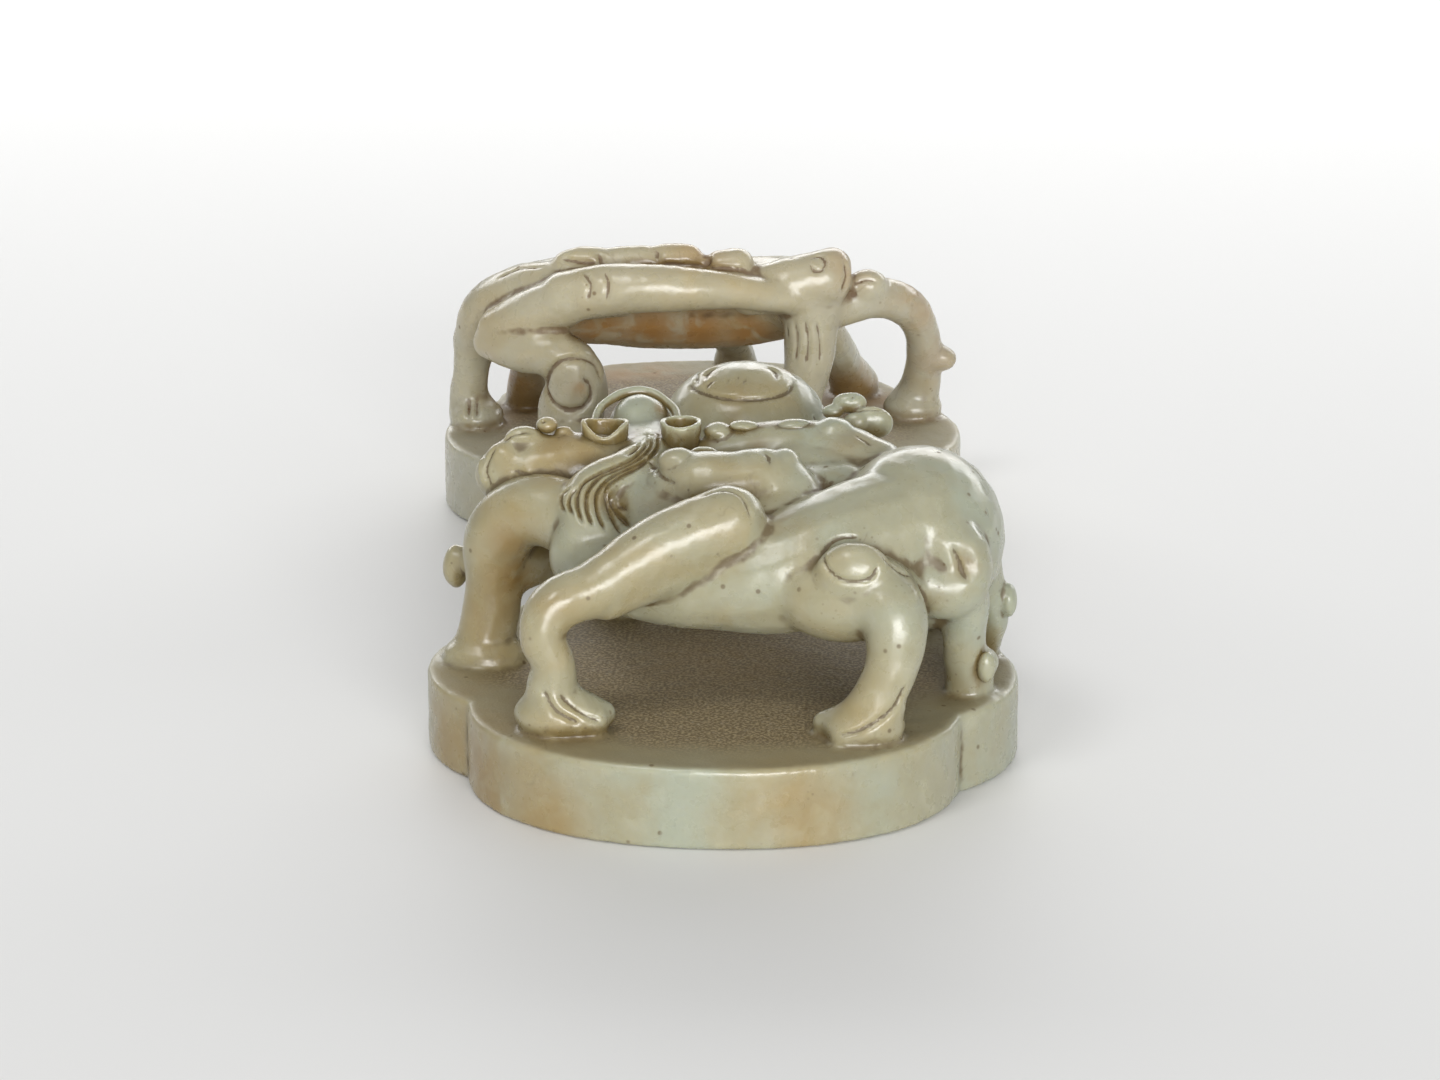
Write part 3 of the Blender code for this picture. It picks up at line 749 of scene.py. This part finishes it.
def dirt_and_painted_shade():
    """Painted yellow-brown shade where the stone is shut in between the limbs and in broad hollows, earth
    left in the cuts, and pin-head specks.
    """
    group, given, out = effect(
        "dirt_and_painted_shade", dict(Place="Vector", Color="Color", Pit="Float", Hollow="Float", Shut="Float",
                         Tone="Color", Dirt="Color"), dict(Color="Color", Cover="Float"))
    place = given["Place"]
    shade_shut_share, shade_hollow_share, corner_share, caked_share, patch_least = 0.92, 0.35, 0.2, 0.8, 0.35
    dot_share, grain_share, vein_share = 0.75, 0.55, 0.25
    crack_scale, wander_scale, wander_reach = 230.0, 400.0, 2.5 * MM
    patch = ramp(group, noise(group, place, size=1.3, detail=4.0), 0.3, 0.6)
    patch = plus(group, patch, patch_least)
    # Painted shade: darker yellow-brown where the stone is shut in and in broad hollows, in patches.
    painted_shade = plus(group, times(group, ramp(group, given["Shut"], 0.08, 0.46), shade_shut_share),
                 times(group, ramp(group, given["Hollow"], 0.1, 1.0), shade_hollow_share))
    painted_shade = times(group, painted_shade, plus(group, patch, patch_least))
    color = blend(group, painted_shade, given["Color"], given["Tone"])
    groove = times(group, ramp(group, given["Pit"], 0.25, 1.0), patch)
    corner = times(group, times(group, ramp(group, given["Hollow"], 0.5, 1.0), patch), corner_share)
    dots = times(group, specks(group, place, apart=2.2, reach=0.13),
                 ramp(group, noise(group, place, size=5.0), 0.48, 0.56))
    grains = times(group, specks(group, place, apart=0.8, reach=0.2),
                   ramp(group, plus(group, given["Shut"], noise(group, place, size=3.0)), 0.55, 0.8))
    shifted = group.nodes.new("ShaderNodeVectorMath")
    shifted.operation = "MULTIPLY_ADD"
    shifted.inputs[1].default_value = (wander_reach, wander_reach, wander_reach)
    wander = group.nodes.new("ShaderNodeTexNoise")
    wander.inputs["Scale"].default_value = wander_scale
    wander.inputs["Detail"].default_value = 4.0
    group.links.new(place, wander.inputs["Vector"])
    group.links.new(wander.outputs["Color"], shifted.inputs[0])
    group.links.new(place, shifted.inputs[2])
    cracks = group.nodes.new("ShaderNodeTexVoronoi")
    cracks.feature = "DISTANCE_TO_EDGE"
    cracks.inputs["Scale"].default_value = crack_scale
    group.links.new(shifted.outputs[0], cracks.inputs["Vector"])
    cracked = plus(group, noise(group, place, size=3.5, detail=3.0), given["Shut"])
    veins = times(group, ramp(group, cracks.outputs["Distance"], 0.035, 0.0),
                  ramp(group, cracked, 0.62, 0.75))
    marks = plus(group, times(group, dots, dot_share),
                 plus(group, times(group, grains, grain_share), times(group, veins, vein_share)))
    cover = plus(group, times(group, plus(group, groove, corner), caked_share), marks)
    group.links.new(blend(group, cover, color, given["Dirt"]), out["Color"])
    group.links.new(cover, out["Cover"])
    return group


def ground_floor():
    """Stone left grey and gritty where no polishing stick could reach."""
    group, given, out = effect(
        "ground_floor", dict(Place="Vector", Color="Color", Ground="Float", Inner="Float", Grit="Color",
                             Edge="Color"), dict(Color="Color", Cover="Float", Height="Float"))
    place = given["Place"]
    edge_share, glint_share, matt_share, grain_height, inner_least = 0.75, 0.5, 0.8, 0.7, 0.45
    worn_grain, glint_grain = (0.35, 0.28, 0.15), (0.42, 0.38, 0.27)
    grain = noise(group, place, size=0.27, detail=3.0)
    patch = noise(group, place, size=4.0, detail=4.0)
    level = ramp(group, given["Ground"], 0.3, 0.95)
    # Further in from the slab's rim, under the carving, the floor turns from the edge colour to the
    # darker grit.
    deep = ramp(group, times(group, given["Inner"], plus(group, patch, inner_least)), 2.6, 7.0)
    edge = blend(group, times(group, level, edge_share), given["Color"], given["Edge"])
    speckled = blend(group, ramp(group, grain, 0.42, 0.64), given["Grit"], worn_grain)
    glint = specks(group, place, apart=0.8, reach=0.22)
    speckled = blend(group, times(group, glint, glint_share), speckled, glint_grain)
    group.links.new(blend(group, times(group, level, deep), edge, speckled), out["Color"])
    group.links.new(times(group, level, matt_share), out["Cover"])
    group.links.new(times(group, times(group, grain, grain_height), level), out["Height"])
    return group


stone_effect, rust_effect = cloudy_stone(), rusty_stain()
dirt_and_shade_effect, floor_effect = dirt_and_painted_shade(), ground_floor()


def jade(name, green, beige, rust, shade_tone, dirt, grit, edge):
    material = bpy.data.materials.new(name)
    material.use_nodes = True
    tree = material.node_tree
    link = tree.links.new
    shader = tree.nodes["Principled BSDF"]
    place = tree.nodes.new("ShaderNodeTexCoord").outputs["Object"]
    felt = {}
    for layer in ("pit", "hollow", "ground", "inner", "shut", "warm", "rust"):
        read = tree.nodes.new("ShaderNodeAttribute")
        read.attribute_name = layer
        felt[layer] = read.outputs["Fac"]

    def lay(group, **inputs):
        made = tree.nodes.new("ShaderNodeGroup")
        made.node_tree = group
        for label, value in inputs.items():
            if isinstance(value, tuple):
                made.inputs[label].default_value = (*value, 1.0)
            else:
                link(value, made.inputs[label])
        return made.outputs

    stone = lay(stone_effect, Place=place, Green=green, Beige=beige, Warm=felt["warm"])
    floored = lay(floor_effect, Place=place, Color=stone["Color"], Ground=felt["ground"],
                  Inner=felt["inner"], Grit=grit, Edge=edge)
    stained = lay(rust_effect, Place=place, Color=floored["Color"], Amount=felt["rust"], Rust=rust)
    # Painted shade and real dirt: the effect below darkens the colour where the stone is shut in or
    # hollow, and lays earth in the cuts.
    dirty_and_shaded = lay(dirt_and_shade_effect, Place=place, Color=stained["Color"], Pit=felt["pit"], Hollow=felt["hollow"],
                Shut=felt["shut"], Tone=shade_tone, Dirt=dirt)
    link(dirty_and_shaded["Color"], shader.inputs["Base Color"])
    polished, worn_share, dirt_share, floor_share = 0.18, 0.22, 0.35, 0.55
    matt = plus(tree, times(tree, dirty_and_shaded["Cover"], dirt_share), times(tree, floored["Cover"], floor_share))
    worn = times(tree, noise(tree, place, size=1.5, detail=4.0), worn_share)
    link(plus(tree, plus(tree, worn, polished), matt), shader.inputs["Roughness"])
    fine_share, soft_share = 0.2, 0.5
    fine = plus(tree, times(tree, noise(tree, place, size=0.5), fine_share),
                times(tree, noise(tree, place, size=1.6), soft_share))
    bump = tree.nodes.new("ShaderNodeBump")
    bump.inputs["Strength"].default_value = 0.6
    bump.inputs["Distance"].default_value = 0.12 * MM
    link(plus(tree, fine, floored["Height"]), bump.inputs["Height"])
    link(bump.outputs["Normal"], shader.inputs["Normal"])
    shader.inputs["IOR"].default_value = 1.61
    shader.inputs["Subsurface Weight"].default_value = 0.4
    shader.inputs["Subsurface Radius"].default_value = (1.0, 0.9, 0.5)
    shader.inputs["Subsurface Scale"].default_value = 0.0018
    return material


hook_place = Matrix.Translation(hook_middle)
hook_half = rough_out("hook_half", HOOK_DRAGON, HOOK_MASSES.values(), *hook_runs())
hook_half.data.transform(hook_place)
hook_slab = saw_slab("hook_slab")
hook_slab.data.transform(hook_place)
melt_together(hook_half, [hook_slab, *seen_balls(HOOK_LUMPS)], fine_voxel, skin_rounds)
trim = rough_out("hook_trim", {"brow band": BROW_BAND}, (), voxel=trim_voxel, rounds=trim_melt_rounds)
trim.data.transform(hook_place)
cups = [ear_cup(*cup) for cup in HOOK_CUPS]
melt_together(trim, cups + seen_balls(HOOK_TABS), trim_voxel, trim_skin_rounds)
pick_only(hook_half, trim)
bpy.ops.object.join()
hook_sight = stone_tree(hook_half)
mane = [laid_line(hook_sight, strand) for strand in MANE]
fine_skin(hook_half, mane, mane_fine_reach, mane_fine_cuts)
lines = [(line, mane_width, mane_depth) for line in mane]
lines.extend((laid_line(hook_sight, points), width, depth) for points, width, depth in HOOK_LINES)
grind(hook_half, lines, seen_spots(hook_sight, HOOK_DENTS))
polish(hook_half, hook_place, seen_spots(hook_sight, HOOK_WARM), seen_spots(hook_sight, HOOK_RUST))
# Painted shade: the yellow-brown (0.17, 0.12, 0.04) is laid as shade where the stone is shut in between
# the limbs.
grey_green_jade = jade("grey_green_jade", green=(0.365, 0.385, 0.295), beige=(0.37, 0.30, 0.155),
                       rust=(0.26, 0.155, 0.04), shade_tone=(0.17, 0.12, 0.04), dirt=(0.12, 0.08, 0.03),
                       grit=(0.155, 0.112, 0.052), edge=(0.25, 0.20, 0.095))
hook_half.data.materials.clear()
hook_half.data.materials.append(grey_green_jade)
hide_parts("hook_plaque")
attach(hook_half, "root")

# Loop half: the same slab and the same way of carving, in a browner part of the stone. A flat loop
# reaches out from its near end, down over the neck of the hook, and the hook comes up through it.
end_gap, loop_half_turn, loop_half_aside = 19.0, math.radians(4.4), 7.1
loop_bar_thickness, loop_side_play, loop_bar_clearance = 4.0, 0.7, 1.3
loop_root_share, loop_root_rise_share, loop_edge_rise_share = 2.0, 0.4, 0.6
loop_arch_share, loop_end_share = 0.5, 1.5
LOOP_DRAGON = {
    "long limb": ((-52, -34, 77, 10), (-34, -38, 82, 10), (-12, -40, 83, 9), (10, -37, 81, 7),
                  (28, -31, 76, 6), (42, -26, 73, 6)),
    "shoulder": ((-88, 11, 39, 9), (-82, 3, 56, 12), (-69, -9, 69, 12), (-52, -19, 75, 12),
                 (-32, -19, 76, 11)),
    "left leg": ((-88, 10, 42, 9), (-90, 12, 25, 7), (-91, 13, 10, 8), (-89, 12, 3, 10)),
    "upper arm": ((-78, -19, 57, 8), (-66, -29, 67, 9), (-52, -34, 75, 10)),
    "scroll arm": ((-81, -18, 50, 7), (-70, -30, 51, 9), (-54, -36, 49, 10), (-48, -36, 37, 12),
                   (-50, -34, 22, 13), (-51, -31, 5, 12)),
    "back roll left": ((-51, -20, 87, 6.5), (-46, -20, 89, 6.5), (-40, -21, 89, 6.5)),
    "back roll mid left": ((-33, -21, 89, 6.5), (-22, -21, 90, 6.5)),
    "back roll mid": ((-14, -21, 90, 7), (-6, -21, 90, 7)),
    "back roll right": ((7, -24, 88, 7), (13, -24, 89, 7)),
    "body": ((-68, -2, 64, 15), (-44, 12, 61, 18), (-16, 17, 58, 19), (12, 16, 58, 18), (34, 2, 65, 16),
             (42, -16, 70, 14)),
    "head": ((18, -24, 76, 9), (33, -23, 79, 11), (46, -22, 82, 11)),
    "near leg": ((41, -21, 66, 11), (41, -23, 47, 10), (38, -26, 26, 8), (37, -28, 11, 9),
                 (32, -32, 6, 10)),
    "right arch": ((52, -15, 66, 8), (66, -11, 69, 8), (77, -3, 63, 8), (84, 7, 49, 7), (86, 15, 31, 7),
                   (85, 21, 15, 8), (82, 22, 4, 10)),
    "right stub": ((87, 14, 31, 6), (94, 13, 31, 5)),
    "right far leg": ((38, 10, 57, 11), (49, 25, 37, 8), (56, 43, 16, 8), (60, 52, 4, 10)),
    "far leg": ((6, 31, 47, 11), (12, 53, 24, 7), (13, 67, 4, 10)),
    "left far leg": ((-65, 7, 50, 10), (-68, 25, 24, 7), (-69, 35, 4, 9)),
    "spine": ((-40, 2, 70, 10), (-12, 6, 69, 11), (20, 2, 69, 10)),
    "rear cloud": ((-34, 35, 60, 12), (0, 41, 58, 12), (30, 33, 58, 11)),
    "near scroll": ((-50, -39, 12, 10), (-42, -58, 9, 8), (-22, -72, 8, 8), (2, -77, 8, 8),
                    (22, -69, 8, 8), (25, -54, 9, 8), (14, -50, 9, 7)),
    "tail": ((-44, 21, 57, 14), (-54, 43, 43, 10), (-61, 55, 23, 8), (-54, 64, 6, 8)),
}
LOOP_MASSES = {
    "brow": ((49, -21, 88), (8, 9, 7)),
    "horn": ((63, -15, 76), (8, 7, 7)),
    "left paw": ((-88, 9, 4), (11, 12, 7)),
    "right paw": ((82, 21, 4), (12, 11, 7)),
}
LOOP_LINES = (
    (((601, 377), (596, 364), (580, 358), (562, 361), (550, 372), (546, 388), (552, 402), (566, 410),
      (582, 408), (591, 398), (591, 386), (583, 378)), 0.6, 0.4),
    (((795, 322), (797, 342), (795, 362)), 0.4, 0.2),
    (((805, 320), (808, 342), (806, 364)), 0.4, 0.2),
    (((816, 322), (820, 342), (820, 362)), 0.4, 0.2),
    (((787, 324), (788, 340)), 0.35, 0.15),
    (((469, 400), (468, 418)), 0.5, 0.35),
    (((477, 400), (477, 418)), 0.5, 0.35),
    (((598, 252), (601, 262), (597, 272)), 0.7, 0.45),
    (((656, 250), (658, 260)), 0.6, 0.4),
    (((705, 248), (708, 258), (704, 268)), 0.8, 0.6),
    (((560, 258), (580, 262), (598, 262)), 0.5, 0.3),
    (((660, 264), (700, 266), (745, 270)), 0.5, 0.3),
    (((812, 258), (820, 256), (825, 262), (822, 270), (814, 271), (810, 264)), 0.4, 0.3),
    (((790, 258), (800, 250), (816, 248), (830, 252)), 0.5, 0.25),
    (((845, 262), (848, 276), (843, 292)), 0.6, 0.4),
    (((856, 284), (866, 280), (878, 282)), 0.4, 0.25),
    (((583, 272), (590, 284), (588, 300)), 0.5, 0.25),
    (((604, 270), (608, 284), (606, 302)), 0.5, 0.2),
    (((500, 268), (520, 262), (545, 262)), 0.4, 0.2),
    (((498, 278), (520, 268), (540, 268)), 0.4, 0.2),
)
LOOP_WARM = (
    (700, 280, 20.0, 0.75), (500, 320, 12.0, 0.6), (880, 320, 15.0, 0.85), (600, 300, 15.0, 0.6),
    (560, 380, 8.0, 0.5),
)
# Rusty places on the loop half, by where they are seen: x, y, reach in millimetres, strength. The strong
# row from x 600 to 780 near y 335 is a brown band below the long limb, partly brown stone and partly
# painted shade.
LOOP_RUST_AND_SHADE = (
    (512, 380, 3.0, 0.9), (920, 300, 4.0, 0.45), (940, 360, 4.0, 0.35), (700, 255, 3.0, 0.35),
    (850, 265, 3.0, 0.4), (580, 388, 0.8, 0.6), (600, 332, 3.5, 1.0), (650, 332, 3.5, 1.0),
    (700, 332, 3.5, 1.0), (750, 335, 3.5, 1.0), (780, 345, 3.0, 0.7), (620, 375, 3.0, 0.6),
    (650, 372, 3.0, 0.6), (850, 390, 3.0, 0.6), (880, 400, 3.0, 0.6),
)


def loop_runs():
    """Rectangular loop that reaches from the slab over the hook neck."""
    bar = loop_bar_thickness / 2
    hook_back = half_length + end_gap - hook_reach
    off_middle = abs(loop_half_aside * math.cos(loop_half_turn) - hook_back * math.sin(loop_half_turn))
    side_at = hook_neck_width / 2 + off_middle + loop_side_play + bar
    low = slab_thickness / 2
    high = ground_clearance + hook_neck_thickness + loop_bar_clearance + bar
    near = -half_length
    end = near - end_gap + hook_reach - hook_neck_thickness / 2 - loop_bar_clearance - bar
    path = ((near + bar * loop_root_share, low + bar * loop_root_rise_share),
            (near - bar, low + bar * loop_edge_rise_share),
            ((near + end) / 2, (low + high) / 2 + bar * loop_arch_share),
            (end + bar * loop_end_share, high), (end, high))
    runs = [[(Vector((side, along, up)) * MM, bar * MM) for along, up in path]
            for side in (-side_at, side_at)]
    runs.append([(Vector((side, end, high)) * MM, bar * MM) for side in (-side_at, side_at)])
    return runs


loop_middle = hook_middle + Vector((-loop_half_aside, half_length * 2 + end_gap, 0.0)) * MM
loop_place = Matrix.Translation(loop_middle) @ Matrix.Rotation(loop_half_turn, 4, "Z")
loop_half = rough_out("loop_half", LOOP_DRAGON, LOOP_MASSES.values(), loop_runs())
loop_slab = saw_slab("loop_slab")
for part in (loop_half, loop_slab):
    part.data.transform(loop_place)
melt_together(loop_half, [loop_slab], fine_voxel, skin_rounds)
loop_sight = stone_tree(loop_half)
grind(loop_half, [(laid_line(loop_sight, points), width, depth) for points, width, depth in LOOP_LINES])
polish(loop_half, loop_place, seen_spots(loop_sight, LOOP_WARM), seen_spots(loop_sight, LOOP_RUST_AND_SHADE))
# Painted shade: the yellow-brown (0.22, 0.14, 0.05) is laid as shade where the stone is shut in between
# the limbs.
warm_beige_jade = jade("warm_beige_jade", green=(0.455, 0.45, 0.36), beige=(0.48, 0.40, 0.235),
                       rust=(0.36, 0.19, 0.06), shade_tone=(0.22, 0.14, 0.05), dirt=(0.16, 0.095, 0.04),
                       grit=(0.2, 0.15, 0.085), edge=(0.3, 0.26, 0.16))
loop_half.data.materials.clear()
loop_half.data.materials.append(warm_beige_jade)
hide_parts("loop_plaque")
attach(loop_half, "root")

# Table: one sheet of plain pale card under and behind the buckle, matt, and so wide that no edge
# shows.
bpy.ops.object.select_all(action="DESELECT")
bpy.ops.mesh.primitive_plane_add(size=6.0, location=(0.0, 0.0, 0.0))
table = bpy.context.object
table.name = "table"
card = bpy.data.materials.new("pale_card")
card.use_nodes = True
card_shader = card.node_tree.nodes["Principled BSDF"]
card_shader.inputs["Base Color"].default_value = (0.82, 0.82, 0.81, 1.0)
card_shader.inputs["Roughness"].default_value = 0.6
table.data.materials.append(card)

# Light: a small soft box above and to the left, a wide low one behind that whitens the card, the
# strongest one in front and to the right, and a pale room that fills the shadows.


def soft_box(name, place, aim, size, power):
    light = bpy.data.lights.new(name, "AREA")
    light.shape = "RECTANGLE"
    light.size, light.size_y = size
    light.energy = power
    lamp = bpy.data.objects.new(name, light)
    bpy.context.collection.objects.link(lamp)
    lamp.location = place
    lamp.rotation_euler = (Vector(aim) - Vector(place)).to_track_quat("-Z", "Y").to_euler()


buckle = (0.0, 0.0, 0.02)
soft_box("soft_box_over", place=(-0.25, -0.4, 0.7), aim=buckle, size=(0.22, 0.22), power=1.3)
soft_box("soft_box_behind", place=(0.0, 0.5, 0.22), aim=(0.0, 0.28, 0.0), size=(1.2, 0.2), power=3.4)
soft_box("soft_box_front", place=(0.22, -0.95, 0.25), aim=buckle, size=(0.6, 0.35), power=8.2)
world = bpy.data.worlds.new("room")
world.use_nodes = True
world.node_tree.nodes["Background"].inputs["Color"].default_value = (1.0, 1.0, 1.0, 1.0)
world.node_tree.nodes["Background"].inputs["Strength"].default_value = 0.27
bpy.context.scene.world = world
bpy.context.scene.view_settings.view_transform = "Standard"
